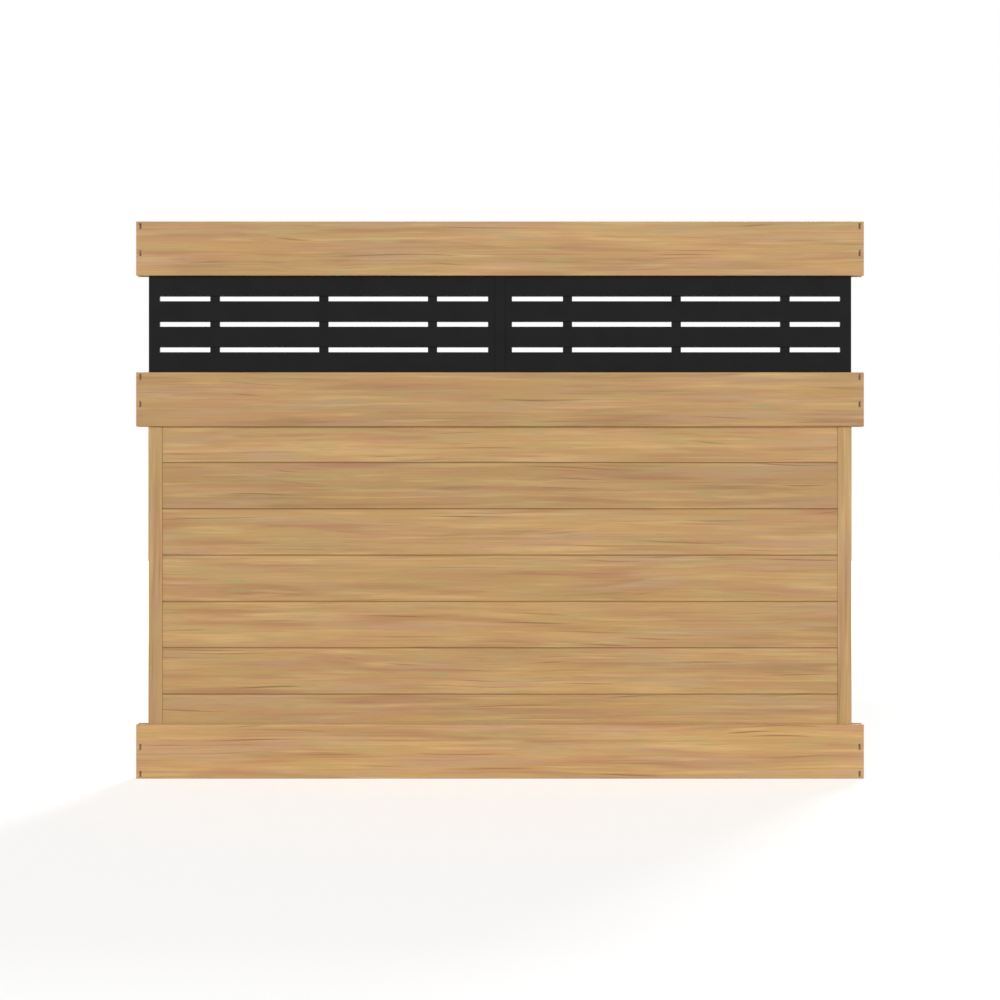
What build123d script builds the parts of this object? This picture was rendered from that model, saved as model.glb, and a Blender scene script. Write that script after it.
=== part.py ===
from build123d import *
import os

# Semi-privacy fence panel, in millimetres. X runs along the panel, Y from its front to its back, Z up.
# The origin is the middle of the left side channel's back, the face that is screwed to the left post.

# Bay between the posts: 5 inch posts set 8 feet apart leave this gap, and the rails grip inside each post
POST_GAP = 2311.0
RAIL_GRIP = 38.5

# Pocket rail: one hollow extrusion used three times, with a pocket along one edge.
# The play is on each side of what stands in the pocket, and the lip is the rounding of its mouth.
RAIL_HEIGHT = 177.8
RAIL_DEPTH = 44.5
RAIL_WALL = 2.5
RAIL_CORNER = 3.0
POCKET_DEPTH = 54.5
POCKET_WALL = 2.2
POCKET_PLAY = 0.6
POCKET_LIP = 1.0

# Locking lug: a strip of rail wall pressed outward, sloping up from the rail's end, with a slot behind it.
# The first lug's middle is measured from the rail's closed edge.
LUG_START = 3.6
LUG_LENGTH = 7.2
LUG_HEIGHT = 20.0
LUG_RISE = 2.2
LUG_SLOT = 6.5
LUG_KERF = 0.5
LUG_FIRST = 15.5
LUG_PITCH = 88.5

# Boards: hollow, tongue up and groove down, stacked across the bay.
# The end play lets them lengthen on a hot day, and the tuck is what the middle rail hides of the top board.
BOARD_COUNT = 7
BOARD_COVER = 152.4
BOARD_THICKNESS = 22.2
BOARD_WALL = 1.6
BOARD_CELLS = 3
BOARD_RIB = 1.3
BOARD_BEVEL = 2.5
BOARD_END_PLAY = 2.5
BOARD_TUCK = 34.3
TONGUE_HEIGHT = 9.5
TONGUE_THICKNESS = 15.0
TONGUE_CHAMFER = 1.2
TONGUE_SIDE_PLAY = 0.4
TONGUE_END_PLAY = 1.0

# Side channels that take the board ends, with play on each side of the boards
CHANNEL_FLANGE = 45.8
CHANNEL_WALL = 2.4
CHANNEL_PLAY = 0.5
CHANNEL_CORNER = 1.0
CHANNEL_TOP_PLAY = 0.8

# Slatted screens: slats across, a stile at each end, bars between, and a tab at both ends of every upright.
# The tuck is what the top rail hides of the top slat.
SLAT_COUNT = 4
SLAT_HEIGHT = 67.0
SLAT_GAP = 16.8
SLAT_EDGE = 1.5
SLAT_TUCK = 1.0
SCREEN_END_PLAY = 0.5
STILE_WIDTH = 34.0
BAR_COUNT = 3
BAR_WIDTH = 30.0
BAR_DEPTH = 16.0
BAR_PITCH = 358.0
TAB_HEIGHT = 14.0
TAB_PLAY = 0.5

# Centre post between the screens, with a round core and a pointed pin under it
POST_WIDTH = 33.0
POST_WALL = 2.4
POST_WEB = 3.0
POST_CORE_RADIUS = 5.0
POST_CORNER = 0.8
POST_SCREEN_PLAY = 0.5
POST_TOP_PLAY = 0.8
PIN_RADIUS = 4.0
PIN_STRAIGHT = 4.0
PIN_TAPER = 5.0
PIN_TIP_RADIUS = 1.0
PIN_PLAY = 0.4

# Spacer strips that fill the top rail's pocket above the screens
SPACER_LENGTH = 849.5
SPACER_WALL = 2.0
SPACER_SIDE_PLAY = 0.4
SPACER_TOP_PLAY = 0.5

# Sizes that follow from those above
SCREEN_DEPTH = BOARD_THICKNESS
POCKET_WIDTH = BOARD_THICKNESS + 2 * POCKET_PLAY
RAIL_LENGTH = POST_GAP + 2 * RAIL_GRIP
BOARD_LENGTH = POST_GAP - 2 * (CHANNEL_WALL + BOARD_END_PLAY)
BOARD_CLEAR = BOARD_COUNT * BOARD_COVER - POCKET_DEPTH - BOARD_TUCK
CHANNEL_LENGTH = BOARD_CLEAR - CHANNEL_TOP_PLAY
SLAT_PITCH = SLAT_HEIGHT + SLAT_GAP
SLAT_STACK = SLAT_COUNT * SLAT_PITCH - SLAT_GAP
SCREEN_CLEAR = SLAT_STACK - SLAT_TUCK
SCREEN_WIDTH = POST_GAP / 2 - POST_CORE_RADIUS - 2 * SCREEN_END_PLAY
SPACER_HEIGHT = POCKET_DEPTH - SLAT_TUCK - TAB_HEIGHT - SPACER_TOP_PLAY

# Places of the pieces
BAY_MIDDLE = POST_GAP / 2
BOTTOM_RAIL_TOP = -CHANNEL_LENGTH / 2
MID_RAIL_FOOT = BOTTOM_RAIL_TOP + BOARD_CLEAR
MID_RAIL_TOP = MID_RAIL_FOOT + RAIL_HEIGHT
TOP_RAIL_FOOT = MID_RAIL_TOP + SCREEN_CLEAR
LEFT_SCREEN_MIDDLE = SCREEN_END_PLAY + SCREEN_WIDTH / 2
RIGHT_SCREEN_MIDDLE = POST_GAP - LEFT_SCREEN_MIDDLE


def rail_profile():
    """Rail section with its pocket in the lower edge and a web right across above the pocket."""
    foot = -RAIL_HEIGHT / 2
    web_top = foot + POCKET_DEPTH + POCKET_WALL
    chamber_top = RAIL_HEIGHT / 2 - RAIL_WALL
    side_inner = POCKET_WIDTH / 2 + POCKET_WALL
    side_outer = RAIL_DEPTH / 2 - RAIL_WALL
    side_height = POCKET_DEPTH - RAIL_WALL

    pocket = Pos(0, foot + POCKET_DEPTH / 2) * Rectangle(POCKET_WIDTH, POCKET_DEPTH)
    section = RectangleRounded(RAIL_DEPTH, RAIL_HEIGHT, RAIL_CORNER) - pocket
    mouth = section.vertices().group_by(Axis.Y)[0].sort_by(lambda corner: abs(corner.X))[:2]
    section = fillet(mouth, POCKET_LIP)

    section -= Pos(0, (web_top + chamber_top) / 2) * Rectangle(2 * side_outer, chamber_top - web_top)
    for side in (-1, 1):
        middle = Pos(side * (side_inner + side_outer) / 2, foot + RAIL_WALL + side_height / 2)
        section -= middle * Rectangle(side_outer - side_inner, side_height)
    return section


def lugs_at_every_corner(shape):
    """Copies of a shape made at the rail's left end, front face, at each lug of the rail."""
    first = Pos(-RAIL_LENGTH / 2, -RAIL_DEPTH / 2, RAIL_HEIGHT / 2 - LUG_FIRST) * shape
    copies = [first, Pos(0, 0, -LUG_PITCH) * first]
    copies += [mirror(copy, Plane.XZ) for copy in copies]
    copies += [mirror(copy, Plane.YZ) for copy in copies]
    return copies


def pocket_rail():
    """Rail about its own middle, pocket down, with locking lugs at both ends of both faces."""
    tip = LUG_START + LUG_LENGTH
    slot_length = LUG_LENGTH + LUG_SLOT
    window = Pos(LUG_START + slot_length / 2, 0, 0) * Box(slot_length, 3 * RAIL_WALL, LUG_HEIGHT)
    root = [(LUG_START, RAIL_WALL), (LUG_START, 0)]
    nose = [(tip, -LUG_RISE), (tip, RAIL_WALL - LUG_RISE)]
    lug = extrude(make_face(Polyline(*root, *nose, close=True)), LUG_HEIGHT / 2 - LUG_KERF, both=True)

    rail = extrude(Plane.YZ * rail_profile(), RAIL_LENGTH / 2, both=True)
    rail -= lugs_at_every_corner(window)
    rail += lugs_at_every_corner(lug)
    return rail


def stile_places():
    """Distance of each end stile from its screen's middle."""
    reach = (SCREEN_WIDTH - STILE_WIDTH) / 2
    return [-reach, reach]


def upright_places():
    """Distance from the screen's middle, and width, of each stile and bar."""
    bars = [(step - (BAR_COUNT - 1) / 2) * BAR_PITCH for step in range(BAR_COUNT)]
    return [(place, STILE_WIDTH) for place in stile_places()] + [(place, BAR_WIDTH) for place in bars]


def tab_holes(screen_middle):
    """Cutters for the holes in the middle rail's top that take one screen's lower tabs."""
    holes = []
    for place, width in upright_places():
        cutter = Box(width + 2 * TAB_PLAY, BAR_DEPTH + 2 * TAB_PLAY, 3 * RAIL_WALL)
        holes.append(Pos(screen_middle + place, 0, MID_RAIL_TOP) * cutter)
    return holes


def mid_rail():
    rail = Pos(BAY_MIDDLE, 0, MID_RAIL_FOOT + RAIL_HEIGHT / 2) * pocket_rail()
    rail -= tab_holes(LEFT_SCREEN_MIDDLE)
    rail -= tab_holes(RIGHT_SCREEN_MIDDLE)
    rail -= Pos(BAY_MIDDLE, 0, MID_RAIL_TOP) * Cylinder(PIN_RADIUS + PIN_PLAY, 3 * RAIL_WALL)
    return rail


def board_profile():
    """Board section standing on its lower edge: groove below, tongue above, three cells inside."""
    face = BOARD_THICKNESS / 2
    groove_side = TONGUE_THICKNESS / 2 + TONGUE_SIDE_PLAY
    groove_top = TONGUE_HEIGHT + TONGUE_END_PLAY
    tongue_side = TONGUE_THICKNESS / 2
    tongue_top = BOARD_COVER + TONGUE_HEIGHT
    half = [
        (groove_side, groove_top),
        (groove_side, 0),
        (face - BOARD_BEVEL, 0),
        (face, BOARD_BEVEL),
        (face, BOARD_COVER - BOARD_BEVEL),
        (face - BOARD_BEVEL, BOARD_COVER),
        (tongue_side, BOARD_COVER),
        (tongue_side, tongue_top - TONGUE_CHAMFER),
        (tongue_side - TONGUE_CHAMFER, tongue_top),
    ]
    section = make_face(Polyline(*half, *[(-y, z) for y, z in reversed(half)], close=True))

    cells_foot = groove_top + BOARD_WALL
    cells_height = BOARD_COVER - BOARD_WALL - cells_foot
    cell_pitch = (cells_height + BOARD_RIB) / BOARD_CELLS
    cell_height = cell_pitch - BOARD_RIB
    for cell in range(BOARD_CELLS):
        middle = Pos(0, cells_foot + cell * cell_pitch + cell_height / 2)
        section -= middle * Rectangle(BOARD_THICKNESS - 2 * BOARD_WALL, cell_height)
    tongue_cell = Rectangle(TONGUE_THICKNESS - 2 * BOARD_WALL, TONGUE_HEIGHT - BOARD_WALL)
    section -= Pos(0, BOARD_COVER + (TONGUE_HEIGHT - BOARD_WALL) / 2) * tongue_cell
    return section


def boards():
    """Boards by number from the lowest, which stands on the floor of the bottom rail's pocket."""
    board = Pos(BAY_MIDDLE, 0, 0) * extrude(Plane.YZ * board_profile(), BOARD_LENGTH / 2, both=True)
    floor = BOTTOM_RAIL_TOP - POCKET_DEPTH
    rows = range(BOARD_COUNT)
    return {f"board_{row + 1}": Pos(0, 0, floor + row * BOARD_COVER) * board for row in rows}


def side_channel():
    """Left channel: its back is at the post face, its flanges reach over the board ends."""
    inside = BOARD_THICKNESS + 2 * CHANNEL_PLAY
    outer = Pos(CHANNEL_FLANGE / 2, 0) * Rectangle(CHANNEL_FLANGE, inside + 2 * CHANNEL_WALL)
    outer = fillet(outer.vertices(), CHANNEL_CORNER)
    section = outer - Pos(CHANNEL_WALL + CHANNEL_FLANGE / 2, 0) * Rectangle(CHANNEL_FLANGE, inside)
    return extrude(section, CHANNEL_LENGTH / 2, both=True)


def screen():
    """Screen about its own middle, standing on the lower edge of its lowest slat."""
    slat_section = Plane.YZ * RectangleRounded(SCREEN_DEPTH, SLAT_HEIGHT, SLAT_EDGE)
    slat = extrude(slat_section, SCREEN_WIDTH / 2 - SLAT_EDGE, both=True)
    stile = extrude(RectangleRounded(STILE_WIDTH, SCREEN_DEPTH, SLAT_EDGE), SLAT_STACK)
    upright_height = SLAT_STACK + 2 * TAB_HEIGHT

    pieces = [Pos(0, 0, SLAT_HEIGHT / 2 + row * SLAT_PITCH) * slat for row in range(SLAT_COUNT)]
    pieces += [Pos(place, 0, 0) * stile for place in stile_places()]
    for place, width in upright_places():
        pieces.append(Pos(place, 0, SLAT_STACK / 2) * Box(width, BAR_DEPTH, upright_height))
    return pieces[0].fuse(*pieces[1:])


def centre_post():
    """Post standing on the middle rail's top, flanged front and back over the screens' inner stiles."""
    inside = SCREEN_DEPTH + 2 * POST_SCREEN_PLAY
    section = Rectangle(POST_WEB, inside + POST_WALL) + Circle(POST_CORE_RADIUS)
    for side in (-1, 1):
        flange = RectangleRounded(POST_WIDTH, POST_WALL, POST_CORNER)
        section += Pos(0, side * (inside + POST_WALL) / 2) * flange
    post = extrude(section, SCREEN_CLEAR - POST_TOP_PLAY)
    post += Pos(0, 0, -PIN_STRAIGHT / 2) * Cylinder(PIN_RADIUS, PIN_STRAIGHT)
    post += Pos(0, 0, -PIN_STRAIGHT - PIN_TAPER / 2) * Cone(PIN_TIP_RADIUS, PIN_RADIUS, PIN_TAPER)
    return Pos(BAY_MIDDLE, 0, MID_RAIL_TOP) * post


def spacer_strip():
    """Strip about its own middle, resting on its web, open upward."""
    width = POCKET_WIDTH - 2 * SPACER_SIDE_PLAY
    section = Pos(0, SPACER_HEIGHT / 2) * Rectangle(width, SPACER_HEIGHT)
    section -= Pos(0, SPACER_WALL + SPACER_HEIGHT / 2) * Rectangle(width - 2 * SPACER_WALL, SPACER_HEIGHT)
    return extrude(Plane.YZ * section, SPACER_LENGTH / 2, both=True)


def panel():
    """All pieces of the panel by name, each in its place."""
    rail = pocket_rail()
    flipped_rail = rail.rotate(Axis.X, 180)
    left_channel = side_channel()
    one_screen = screen()
    strip = spacer_strip()
    tab_tops = MID_RAIL_TOP + SLAT_STACK + TAB_HEIGHT
    pieces = {
        "top_rail": Pos(BAY_MIDDLE, 0, TOP_RAIL_FOOT + RAIL_HEIGHT / 2) * rail,
        "mid_rail": mid_rail(),
        "bottom_rail": Pos(BAY_MIDDLE, 0, BOTTOM_RAIL_TOP - RAIL_HEIGHT / 2) * flipped_rail,
        "left_side_channel": left_channel,
        "right_side_channel": Pos(POST_GAP, 0, 0) * mirror(left_channel, Plane.YZ),
        "left_screen": Pos(LEFT_SCREEN_MIDDLE, 0, MID_RAIL_TOP) * one_screen,
        "right_screen": Pos(RIGHT_SCREEN_MIDDLE, 0, MID_RAIL_TOP) * one_screen,
        "centre_post": centre_post(),
        "left_spacer_strip": Pos(LEFT_SCREEN_MIDDLE, 0, tab_tops) * strip,
        "right_spacer_strip": Pos(RIGHT_SCREEN_MIDDLE, 0, tab_tops) * strip,
    }
    pieces.update(boards())
    return pieces


os.makedirs("parts", exist_ok=True)
for name, piece in panel().items():
    export_step(piece, f"parts/{name}.step")
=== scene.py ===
"""Finishes, light and camera for a semi-privacy fence panel: wood-grain vinyl and black slatted screens."""
import math

import bmesh
import bpy
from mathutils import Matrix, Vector


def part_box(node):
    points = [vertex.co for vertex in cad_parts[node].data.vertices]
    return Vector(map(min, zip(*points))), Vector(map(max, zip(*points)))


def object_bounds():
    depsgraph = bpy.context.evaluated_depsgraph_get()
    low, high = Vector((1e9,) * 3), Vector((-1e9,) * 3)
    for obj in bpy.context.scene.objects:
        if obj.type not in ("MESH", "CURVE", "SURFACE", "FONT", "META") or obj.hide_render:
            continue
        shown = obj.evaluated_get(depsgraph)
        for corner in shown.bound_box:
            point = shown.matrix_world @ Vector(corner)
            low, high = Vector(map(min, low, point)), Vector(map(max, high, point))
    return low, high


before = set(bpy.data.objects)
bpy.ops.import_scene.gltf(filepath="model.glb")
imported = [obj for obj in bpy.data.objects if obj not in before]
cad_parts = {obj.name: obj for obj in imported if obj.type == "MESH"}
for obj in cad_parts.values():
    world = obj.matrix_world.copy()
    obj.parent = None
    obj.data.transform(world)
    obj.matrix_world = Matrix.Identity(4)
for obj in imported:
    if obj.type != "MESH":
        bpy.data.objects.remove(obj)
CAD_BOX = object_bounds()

MM = 0.001
PANEL_MIDDLE = (Vector(CAD_BOX[0]) + Vector(CAD_BOX[1])) / 2

# The photograph's frame: a front view of 1000 px, in which a rail is 728 px long, seen from 5.6 m away
FRAME_PX = 1000
RAIL_PX = 728
VIEW_DISTANCE = 5.6
SENSOR_MM = 36.0

# Sockets of a node that mixes two colours: the share of the upper one, the lower, the upper and the result
MIX_SHARE = 0
MIX_UNDER = 6
MIX_OVER = 7
MIX_RESULT = 2

# Ground of the print from its darkest streaks to its lightest, painted shade that stands in for the
# shadow in the joints between boards, and the plain vinyl under the print
DARK_GRAIN = "#AB8458"
LIGHT_GRAIN = "#D2AA70"
PAINTED_JOINT_SHADE = "#7D5C3A"
PLAIN_CORE = "#B08D60"

# Colours that tint the ground
TINT_COLOURS = {
    "pinkish patches": "#C48E68",
    "olive patches": "#BAA268",
    "ochre patches": "#C29A5E",
    "chalky patches": "#BF9B78",
    "pale glints": "#DCB67C",
    "reddish smears": "#AD7A52",
    "reddish pores": "#AD7A52",
    "dark dashes": "#82542E",
    "grey-green flecks": "#A4A06A",
}

# Middle of a noise, of the way from dark to light and of the way from one line to the next
MIDDLE = 0.5

# How far apart in the noise two layers of the print are read
LAYER_STEP = (17.3, 5.1, 9.7)

# How far streaks may rise and fall across the grain, in mm, and length, height and detail of that wander
STRAIGHT = 14
SLOPING = 48
WANDER = (750, 170, 1.0)

# Layers of noise in the print: length and height of a streak in mm, its detail, and its rise and fall
PRINT_LAYERS = {
    "fine": (460, 9, 2.0, STRAIGHT),
    "band": (540, 38, 1.0, STRAIGHT),
    "broad": (1200, 110, 1.0, STRAIGHT),
    "warmth": (260, 26, 2.0, STRAIGHT),
    "glints": (320, 14, 1.0, STRAIGHT),
    "smears": (520, 26, 1.0, SLOPING),
    "dashes": (400, 11, 0.0, SLOPING),
    "spots": (120, 20, 1.0, SLOPING),
    "pores": (75, 1.6, 2.0, STRAIGHT),
    "hue": (420, 40, 2.0, STRAIGHT),
    "liveliness": (420, 100, 1.0, STRAIGHT),
    "hairs": (700, 4.5, 0.0, STRAIGHT),
}

# Share of each layer in the streaks of the ground, and their contrast from calm places to lively ones
STREAK_SHARES = {"hairs": 0.14, "fine": 0.22, "band": 0.38, "broad": 0.26}
STREAK_CONTRAST = {"From Min": 0.35, "From Max": 0.65, "To Min": 2.0, "To Max": 5.6}

# Where each tint lies, over the tints before it: its layer, the noise at which it starts and is full, and
# its strength there. Where full is less than start, it lies in the low places of the noise.
TINT_PLACES = {
    "pinkish patches": ("warmth", 0.50, 0.72, 0.50),
    "olive patches": ("warmth", 0.50, 0.28, 0.66),
    "ochre patches": ("hue", 0.50, 0.70, 0.62),
    "chalky patches": ("hue", 0.50, 0.30, 0.60),
    "pale glints": ("glints", 0.54, 0.76, 0.50),
    "reddish smears": ("smears", 0.55, 0.75, 0.55),
    "reddish pores": ("pores", 0.46, 0.76, 0.34),
    "dark dashes": ("dashes", 0.62, 0.84, 0.75),
    "grey-green flecks": ("spots", 0.66, 0.84, 0.50),
}

# Lines that the dark dashes follow, in mm: how far apart they lie, and how wide each is at half its strength
LINE_PITCH = 13.0
LINE_WIDTH = 3.2

# Painted shade on a board's sloping edges, by how far a face tips up or down from upright
JOINT_SLOPE = {"From Min": 0.35, "From Max": 0.65, "To Max": 0.4}

# Vinyl's top coat: roughness from between the pores to in them, embossing and gloss
VINYL_ROUGHNESS = {"From Min": 0.3, "From Max": 0.7, "To Min": 0.44, "To Max": 0.58}
VINYL_EMBOSSING = {"Strength": 0.5, "Distance": 0.5 * MM}
VINYL_GLOSS = {"IOR": 1.53, "Specular IOR Level": 0.35}

# Tone of each vinyl piece, because no two lengths of the print match
# The bottom rail's tone is partly painted light: it is raised a little for the weaker light at the foot
RAIL_TONES = {"top_rail": 1.01, "mid_rail": 0.95, "bottom_rail": 1.1}
BOARD_TONES = (0.97, 0.98, 1.0, 0.98, 0.99, 0.89, 1.0)
CHANNEL_TONE = 0.95
STRIP_TONE = 0.94

# Where in the print pieces are cut, in metres along X, Y and Z: the first piece, and the step to the next
RAIL_CUTS = ((0.0, 0.0, 0.0), (3.7, 1.9, 2.3))
BOARD_CUTS = ((1.1, 4.0, 0.0), (5.3, 0.7, 1.3))
SIDE_CUTS = ((0.0, 9.1, 0.0), (2.3, 0.0, 3.0))

# How deep the printed skin reaches from a piece's box: past a rail's lugs and past a board's bevels. A depth
# below zero leaves the faces across that axis bare.
SKIN = 1.0 * MM
RAIL_LUG = 2.2 * MM
BOARD_BEVEL = 2.6 * MM
NO_SKIN = -1.0

# Black plastic: its colours from one flow mark to the next, the width in mm and the detail of the flow marks
# and of the etched grain, roughness from one flow mark to the next, depth of the grain, and gloss
DEEP_BLACK = "#0B0B0B"
SOFT_BLACK = "#101010"
FLOW_WIDTH = 70
FLOW_DETAIL = 3.0
ETCH_WIDTH = 1.6
ETCH_DETAIL = 2.0
BLACK_ROUGHNESS = {"From Min": 0.3, "From Max": 0.7, "To Min": 0.52, "To Max": 0.64}
BLACK_ETCHING = {"Strength": 0.6, "Distance": 0.3 * MM}
BLACK_GLOSS = {"IOR": 1.49, "Specular IOR Level": 0.14}

# Floor: its paint, how far under the panel's foot it lies, how far it reaches from there, and how its glow
# rises with the distance from the foot in metres
FLOOR_PAINT = "#F0F0F0"
FLOOR_DROP = 0.5 * MM
FLOOR_REACH = 20.0
FLOOR_GLOW = {"From Min": 2.5, "From Max": 7.0, "To Min": 0.4, "To Max": 1.0}

# Studio light: colour of the surround, its strength as light and as seen, the way in metres to each lamp
# from the panel's middle with its strength in watts a square metre, and how wide the lamps look
SURROUND = "#FFFFFF"
SURROUND_LIGHT = 0.38
SURROUND_SEEN = 1.0
LAMPS = {
    "key": ((-3.8, -9.0, 5.2), 1.0),
    "fill": ((4.8, -8.6, 3.8), 0.74),
    "back": ((3.4, 9.0, 5.6), 1.3),
}
LAMP_WIDTH = math.radians(20)


def linear(hex_colour, tone=1.0):
    """Linear RGBA of an sRGB colour written as hex, lightened or darkened by a tone."""
    channels = [int(hex_colour[place:place + 2], 16) / 255 for place in (1, 3, 5)]
    return [tone * (c / 12.92 if c <= 0.04045 else ((c + 0.055) / 1.055) ** 2.4) for c in channels] + [1.0]


def add_node(tree, kind, inputs=None, **settings):
    """Adds a node: settings are its own values, inputs are constants or other nodes' sockets."""
    node = tree.nodes.new(kind)
    for name, value in settings.items():
        setattr(node, name, value)
    for name, value in (inputs or {}).items():
        if isinstance(value, bpy.types.NodeSocket):
            tree.links.new(value, node.inputs[name])
        else:
            node.inputs[name].default_value = value
    return node


def new_material(name):
    """An empty material and its node tree."""
    material = bpy.data.materials.new(name)
    material.use_nodes = True
    material.node_tree.nodes.clear()
    return material, material.node_tree


def grain_place(tree, cut, upright):
    """Place on a piece in metres, with X along the grain, moved to where the piece is cut from the print."""
    coordinates = add_node(tree, "ShaderNodeTexCoord")
    turn = (0.0, math.pi / 2, 0.0) if upright else (0.0, 0.0, 0.0)
    placed = add_node(tree, "ShaderNodeMapping",
                      {"Vector": coordinates.outputs["Object"], "Location": cut, "Rotation": turn})
    return placed.outputs[0]


def grain(tree, place, length, height, detail, layer):
    """Noise drawn out to streaks of a length and height in mm. Each layer has its own noise."""
    scale = (1 / (length * MM), 1 / (height * MM), 1 / (height * MM))
    start = [layer * step for step in LAYER_STEP]
    stretched = add_node(tree, "ShaderNodeVectorMath", {0: place, 1: scale, 2: start},
                         operation="MULTIPLY_ADD")
    noise = add_node(tree, "ShaderNodeTexNoise",
                     {"Vector": stretched.outputs[0], "Scale": 1.0, "Detail": detail})
    return noise.outputs["Fac"]


def drifted(tree, place, drift):
    """The place moved across the grain by a noise times a drift in mm, so that a streak rises and falls."""
    wander = grain(tree, place, *WANDER, layer=0)
    centred = add_node(tree, "ShaderNodeMath", {0: wander, 1: MIDDLE}, operation="SUBTRACT")
    moved = add_node(tree, "ShaderNodeVectorMath",
                     {0: (0.0, drift * MM, drift * MM), "Scale": centred.outputs[0]}, operation="SCALE")
    place = add_node(tree, "ShaderNodeVectorMath", {0: place, 1: moved.outputs[0]}, operation="ADD")
    return place.outputs[0]


def print_layers(tree, places):
    """Noise of each layer of the print, by name, read at the places that drift as that layer does."""
    layers = {}
    for layer, (name, (length, height, detail, drift)) in enumerate(PRINT_LAYERS.items(), start=1):
        layers[name] = grain(tree, places[drift], length, height, detail, layer)
    return layers


def streaked_ground(tree, layers, tone):
    """Colour from dark to light by the sum of the streaks about zero, times the contrast."""
    streaks = -MIDDLE
    for name, share in STREAK_SHARES.items():
        added = add_node(tree, "ShaderNodeMath", {0: layers[name], 1: share, 2: streaks},
                         operation="MULTIPLY_ADD")
        streaks = added.outputs[0]
    contrast = add_node(tree, "ShaderNodeMapRange", {"Value": layers["liveliness"], **STREAK_CONTRAST})
    light = add_node(tree, "ShaderNodeMath", {0: streaks, 1: contrast.outputs["Result"], 2: MIDDLE},
                     operation="MULTIPLY_ADD")
    ground = add_node(tree, "ShaderNodeMix",
                      {MIX_SHARE: light.outputs[0], MIX_UNDER: linear(DARK_GRAIN, tone),
                       MIX_OVER: linear(LIGHT_GRAIN, tone)}, data_type="RGBA")
    return ground.outputs[MIX_RESULT]


def thin_lines(tree, place):
    """1 along lines that lie a pitch apart across the grain, fading to 0 beside them."""
    lines_a_metre = 1 / (LINE_PITCH * MM)
    across = add_node(tree, "ShaderNodeVectorMath", {0: place, 1: (0.0, lines_a_metre, lines_a_metre)},
                      operation="DOT_PRODUCT")
    off_line = add_node(tree, "ShaderNodeMath", {0: across.outputs["Value"], 1: MIDDLE},
                        operation="PINGPONG")
    lines = add_node(tree, "ShaderNodeMapRange",
                     {"Value": off_line.outputs[0], "From Min": LINE_WIDTH / LINE_PITCH, "From Max": 0.0},
                     interpolation_type="SMOOTHSTEP")
    return lines.outputs["Result"]


def tint_shares(tree, layers, lines):
    """Share of each tint, by name. The dark dashes are short stretches of the thin lines."""
    shares = {}
    for name, (layer, start, full, strength) in TINT_PLACES.items():
        spread = add_node(tree, "ShaderNodeMapRange",
                          {"Value": layers[layer], "From Min": start, "From Max": full, "To Max": strength},
                          interpolation_type="SMOOTHSTEP")
        shares[name] = spread.outputs["Result"]
    dashes = add_node(tree, "ShaderNodeMath", {0: lines, 1: shares["dark dashes"]}, operation="MULTIPLY")
    shares["dark dashes"] = dashes.outputs[0]
    return shares


def painted_joint_shade(tree):
    """Share of the painted shade on the sloping edges of a board, where it meets the next one: a darker
    colour that stands in for the shadow in the groove.
    """
    coordinates = add_node(tree, "ShaderNodeTexCoord")
    facing = add_node(tree, "ShaderNodeSeparateXYZ", {0: coordinates.outputs["Normal"]})
    slope = add_node(tree, "ShaderNodeMath", {0: facing.outputs[2]}, operation="ABSOLUTE")
    shade = add_node(tree, "ShaderNodeMapRange", {"Value": slope.outputs[0], **JOINT_SLOPE},
                     interpolation_type="SMOOTHSTEP")
    return shade.outputs["Result"]


def printed_skin(tree, node, depth):
    """1 on the printed outside of a piece and 0 on its core and inner walls. The depth of the skin is
    measured along X, Y and Z from the piece's box."""
    low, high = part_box(node)
    middle = (low + high) / 2
    inner = (high - low) / 2 - Vector(depth)
    coordinates = add_node(tree, "ShaderNodeTexCoord")
    centred = add_node(tree, "ShaderNodeVectorMath", {0: coordinates.outputs["Object"], 1: middle},
                       operation="SUBTRACT")
    folded = add_node(tree, "ShaderNodeVectorMath", {0: centred.outputs[0]}, operation="ABSOLUTE")
    beyond = add_node(tree, "ShaderNodeVectorMath", {0: folded.outputs[0], 1: inner}, operation="SUBTRACT")
    sides = add_node(tree, "ShaderNodeSeparateXYZ", {0: beyond.outputs[0]})
    across = add_node(tree, "ShaderNodeMath", {0: sides.outputs[1], 1: sides.outputs[2]},
                      operation="MAXIMUM")
    furthest = add_node(tree, "ShaderNodeMath", {0: across.outputs[0], 1: sides.outputs[0]},
                        operation="MAXIMUM")
    skin = add_node(tree, "ShaderNodeMath", {0: furthest.outputs[0], 1: 0.0}, operation="GREATER_THAN")
    return skin.outputs[0]


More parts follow.
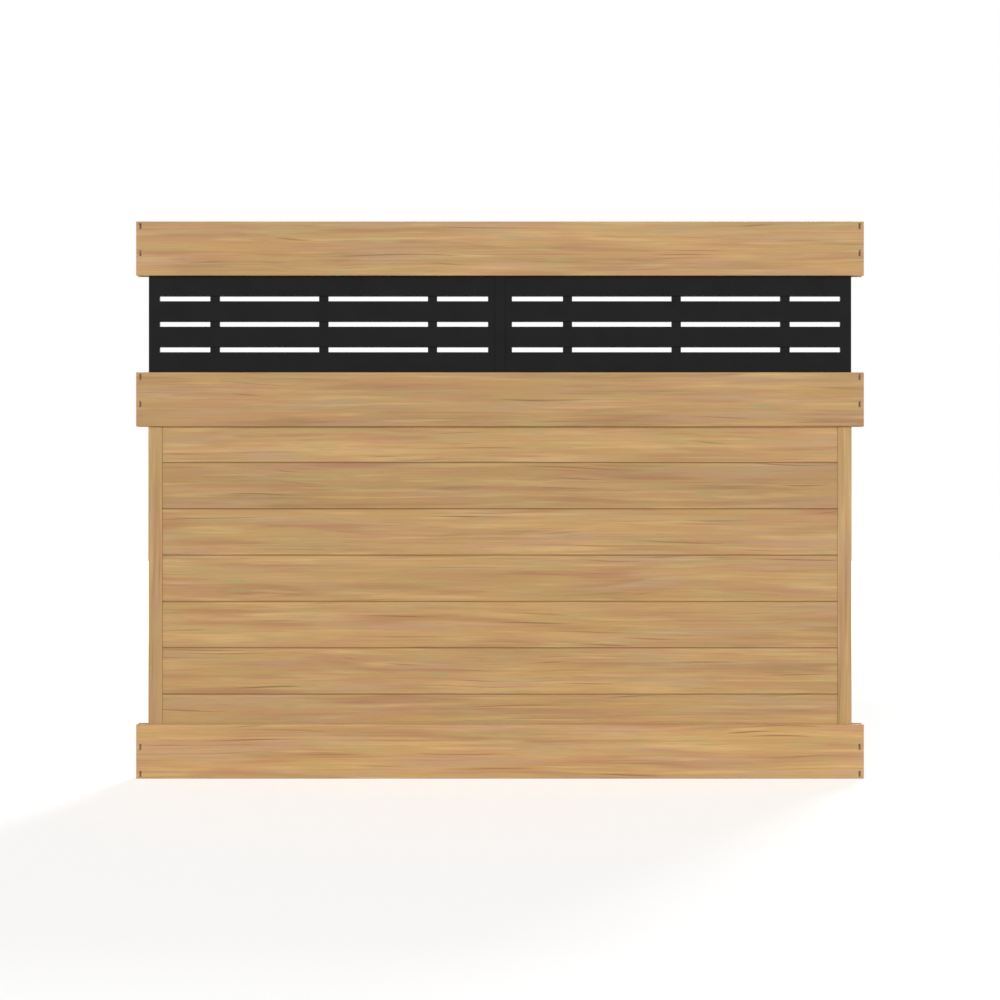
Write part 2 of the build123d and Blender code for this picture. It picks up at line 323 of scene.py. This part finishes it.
def woodgrain_vinyl(node, cut, tone, depth, upright=False, bevelled=False):
    """Rigid vinyl, extruded, under a printed cedar film with a matt embossed top coat: long straight streaks
    of tan with little contrast, lively in some places and calm in others, with pinkish, olive, ochre and
    chalky patches, pale glints, a few thin dark dashes that slope a little out of reddish smears, and soft
    grey-green flecks. The film covers only the outside, so cut ends and inner walls are plain tan. Pores of
    a few tenths of a millimetre are drawn 1.6 mm high so that they show."""
    material, tree = new_material(f"Wood-grain vinyl, {node}")
    place = grain_place(tree, cut, upright)
    places = {drift: drifted(tree, place, drift) for drift in (STRAIGHT, SLOPING)}
    layers = print_layers(tree, places)
    shares = tint_shares(tree, layers, thin_lines(tree, places[SLOPING]))

    colour = streaked_ground(tree, layers, tone)
    for name, share in shares.items():
        tinted = add_node(tree, "ShaderNodeMix",
                          {MIX_SHARE: share, MIX_UNDER: colour, MIX_OVER: linear(TINT_COLOURS[name], tone)},
                          data_type="RGBA")
        colour = tinted.outputs[MIX_RESULT]
    # Painted shade: a board's sloping edges are darkened for the shadow in the groove to the next board
    if bevelled:
        shaded = add_node(tree, "ShaderNodeMix",
                          {MIX_SHARE: painted_joint_shade(tree), MIX_UNDER: colour, MIX_OVER: linear(PAINTED_JOINT_SHADE)},
                          data_type="RGBA")
        colour = shaded.outputs[MIX_RESULT]
    covered = add_node(tree, "ShaderNodeMix",
                       {MIX_SHARE: printed_skin(tree, node, depth), MIX_UNDER: linear(PLAIN_CORE),
                        MIX_OVER: colour}, data_type="RGBA")

    # The top coat is duller in the pores, and the pores and the dark dashes are sunk in it
    roughness = add_node(tree, "ShaderNodeMapRange", {"Value": layers["pores"], **VINYL_ROUGHNESS})
    relief = add_node(tree, "ShaderNodeMath", {0: layers["fine"], 1: layers["pores"]}, operation="SUBTRACT")
    relief = add_node(tree, "ShaderNodeMath", {0: relief.outputs[0], 1: shares["dark dashes"]},
                      operation="SUBTRACT")
    bump = add_node(tree, "ShaderNodeBump", {"Height": relief.outputs[0], **VINYL_EMBOSSING})
    shader = add_node(tree, "ShaderNodeBsdfPrincipled",
                      {"Base Color": covered.outputs[MIX_RESULT], "Roughness": roughness.outputs["Result"],
                       "Normal": bump.outputs["Normal"], **VINYL_GLOSS})
    add_node(tree, "ShaderNodeOutputMaterial", {"Surface": shader.outputs["BSDF"]})
    return material


def black_polypropylene():
    """Black polypropylene, moulded against an etched tool: an even near-black with a fine dull grain that
    gives back little light. The grain of a few tenths of a millimetre is drawn 1.6 mm wide so that it
    shows."""
    material, tree = new_material("Black polypropylene, moulded")
    coordinates = add_node(tree, "ShaderNodeTexCoord")
    etched = add_node(tree, "ShaderNodeTexNoise",
                      {"Vector": coordinates.outputs["Object"], "Scale": 1 / (ETCH_WIDTH * MM),
                       "Detail": ETCH_DETAIL})
    flow = add_node(tree, "ShaderNodeTexNoise",
                    {"Vector": coordinates.outputs["Object"], "Scale": 1 / (FLOW_WIDTH * MM),
                     "Detail": FLOW_DETAIL})
    colour = add_node(tree, "ShaderNodeMix",
                      {MIX_SHARE: flow.outputs["Fac"], MIX_UNDER: linear(DEEP_BLACK),
                       MIX_OVER: linear(SOFT_BLACK)}, data_type="RGBA")
    roughness = add_node(tree, "ShaderNodeMapRange", {"Value": flow.outputs["Fac"], **BLACK_ROUGHNESS})
    bump = add_node(tree, "ShaderNodeBump", {"Height": etched.outputs["Fac"], **BLACK_ETCHING})
    shader = add_node(tree, "ShaderNodeBsdfPrincipled",
                      {"Base Color": colour.outputs[MIX_RESULT], "Roughness": roughness.outputs["Result"],
                       "Normal": bump.outputs["Normal"], **BLACK_GLOSS})
    add_node(tree, "ShaderNodeOutputMaterial", {"Surface": shader.outputs["BSDF"]})
    return material


def cut_place(cuts, count):
    """Where in the print a piece is cut: the first place, and a step further for each piece before it."""
    first, step = cuts
    return [start + count * further for start, further in zip(first, step)]


def dress(node, material):
    """Gives a CAD node its finish."""
    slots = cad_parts[node].data.materials
    slots.clear()
    slots.append(material)


def dress_panel():
    """Every vinyl piece has its own length of the print, and the screens and their post are black."""
    for count, (rail, tone) in enumerate(RAIL_TONES.items()):
        cut = cut_place(RAIL_CUTS, count)
        dress(rail, woodgrain_vinyl(rail, cut, tone, (NO_SKIN, RAIL_LUG + SKIN, SKIN)))
    for count, tone in enumerate(BOARD_TONES):
        board = f"board_{count + 1}"
        cut = cut_place(BOARD_CUTS, count)
        dress(board, woodgrain_vinyl(board, cut, tone, (NO_SKIN, BOARD_BEVEL, NO_SKIN), bevelled=True))
    for count, side in enumerate(("left", "right")):
        channel = f"{side}_side_channel"
        strip = f"{side}_spacer_strip"
        cut = cut_place(SIDE_CUTS, count)
        dress(channel, woodgrain_vinyl(channel, cut, CHANNEL_TONE, (SKIN, SKIN, NO_SKIN), upright=True))
        dress(strip, woodgrain_vinyl(strip, cut, STRIP_TONE, (NO_SKIN, SKIN, SKIN)))
    black = black_polypropylene()
    for node in ("left_screen", "right_screen", "centre_post"):
        dress(node, black)


def seen_directly(tree):
    """1 for rays from the camera, a reflection or glass, 0 for rays that light the object."""
    path = add_node(tree, "ShaderNodeLightPath")
    seen = add_node(tree, "ShaderNodeMath",
                    {0: path.outputs["Is Camera Ray"], 1: path.outputs["Is Glossy Ray"]},
                    operation="MAXIMUM")
    seen = add_node(tree, "ShaderNodeMath", {0: seen.outputs[0], 1: path.outputs["Is Transmission Ray"]},
                    operation="MAXIMUM")
    return seen.outputs[0]


def pale_floor():
    """White matt floor paint at the panel's foot. It keeps the panel's shadow and is white away from it."""
    foot = (PANEL_MIDDLE.x, PANEL_MIDDLE.y, CAD_BOX[0][2] - FLOOR_DROP)
    material, tree = new_material("White matt floor paint")
    coordinates = add_node(tree, "ShaderNodeTexCoord")
    away = add_node(tree, "ShaderNodeVectorMath", {0: coordinates.outputs["Object"], 1: foot},
                    operation="DISTANCE")
    glow = add_node(tree, "ShaderNodeMapRange", {"Value": away.outputs["Value"], **FLOOR_GLOW},
                    interpolation_type="SMOOTHSTEP")
    shown = add_node(tree, "ShaderNodeMath", {0: glow.outputs["Result"], 1: seen_directly(tree)},
                     operation="MULTIPLY")
    paint = add_node(tree, "ShaderNodeBsdfDiffuse", {"Color": linear(FLOOR_PAINT)})
    light = add_node(tree, "ShaderNodeEmission", {"Strength": shown.outputs[0]})
    total = add_node(tree, "ShaderNodeAddShader", {0: paint.outputs[0], 1: light.outputs[0]})
    add_node(tree, "ShaderNodeOutputMaterial", {"Surface": total.outputs[0]})

    sheet = bmesh.new()
    bmesh.ops.create_grid(sheet, x_segments=1, y_segments=1, size=FLOOR_REACH)
    bmesh.ops.translate(sheet, verts=sheet.verts, vec=foot)
    mesh = bpy.data.meshes.new("floor")
    sheet.to_mesh(mesh)
    sheet.free()
    mesh.materials.append(material)
    floor = bpy.data.objects.new("floor", mesh)
    bpy.context.scene.collection.objects.link(floor)


def studio_world():
    """White surround that shows as white and lights the panel evenly at a lesser strength."""
    world = bpy.data.worlds.new("white studio")
    bpy.context.scene.world = world
    world.use_nodes = True
    tree = world.node_tree
    tree.nodes.clear()
    strength = add_node(tree, "ShaderNodeMapRange",
                        {"Value": seen_directly(tree), "To Min": SURROUND_LIGHT, "To Max": SURROUND_SEEN})
    surround = add_node(tree, "ShaderNodeBackground",
                        {"Color": linear(SURROUND), "Strength": strength.outputs["Result"]})
    add_node(tree, "ShaderNodeOutputWorld", {"Surface": surround.outputs[0]})


def far_softbox(name, way, strength):
    """Broad lamp so far off that it lights the panel's foot as strongly as its top."""
    lamp = bpy.data.lights.new(name, "SUN")
    lamp.angle = LAMP_WIDTH
    lamp.energy = strength
    box = bpy.data.objects.new(name, lamp)
    box.location = PANEL_MIDDLE + Vector(way)
    box.rotation_euler = (-Vector(way)).to_track_quat("-Z", "Y").to_euler()
    bpy.context.scene.collection.objects.link(box)


def front_camera():
    """Camera straight in front of the panel's middle, at the photograph's scale."""
    rail_low, rail_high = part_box("mid_rail")
    data = bpy.data.cameras.new("front camera")
    data.sensor_width = SENSOR_MM
    data.lens = SENSOR_MM * RAIL_PX / FRAME_PX * VIEW_DISTANCE / (rail_high.x - rail_low.x)
    camera = bpy.data.objects.new("front camera", data)
    camera.location = (PANEL_MIDDLE.x, rail_low.y - VIEW_DISTANCE, PANEL_MIDDLE.z)
    camera.rotation_euler = (math.pi / 2, 0.0, 0.0)
    bpy.context.scene.collection.objects.link(camera)
    bpy.context.scene.camera = camera


dress_panel()
pale_floor()
studio_world()
for lamp_name, (lamp_way, lamp_strength) in LAMPS.items():
    far_softbox(lamp_name, lamp_way, lamp_strength)
front_camera()
bpy.context.scene.view_settings.view_transform = "Standard"
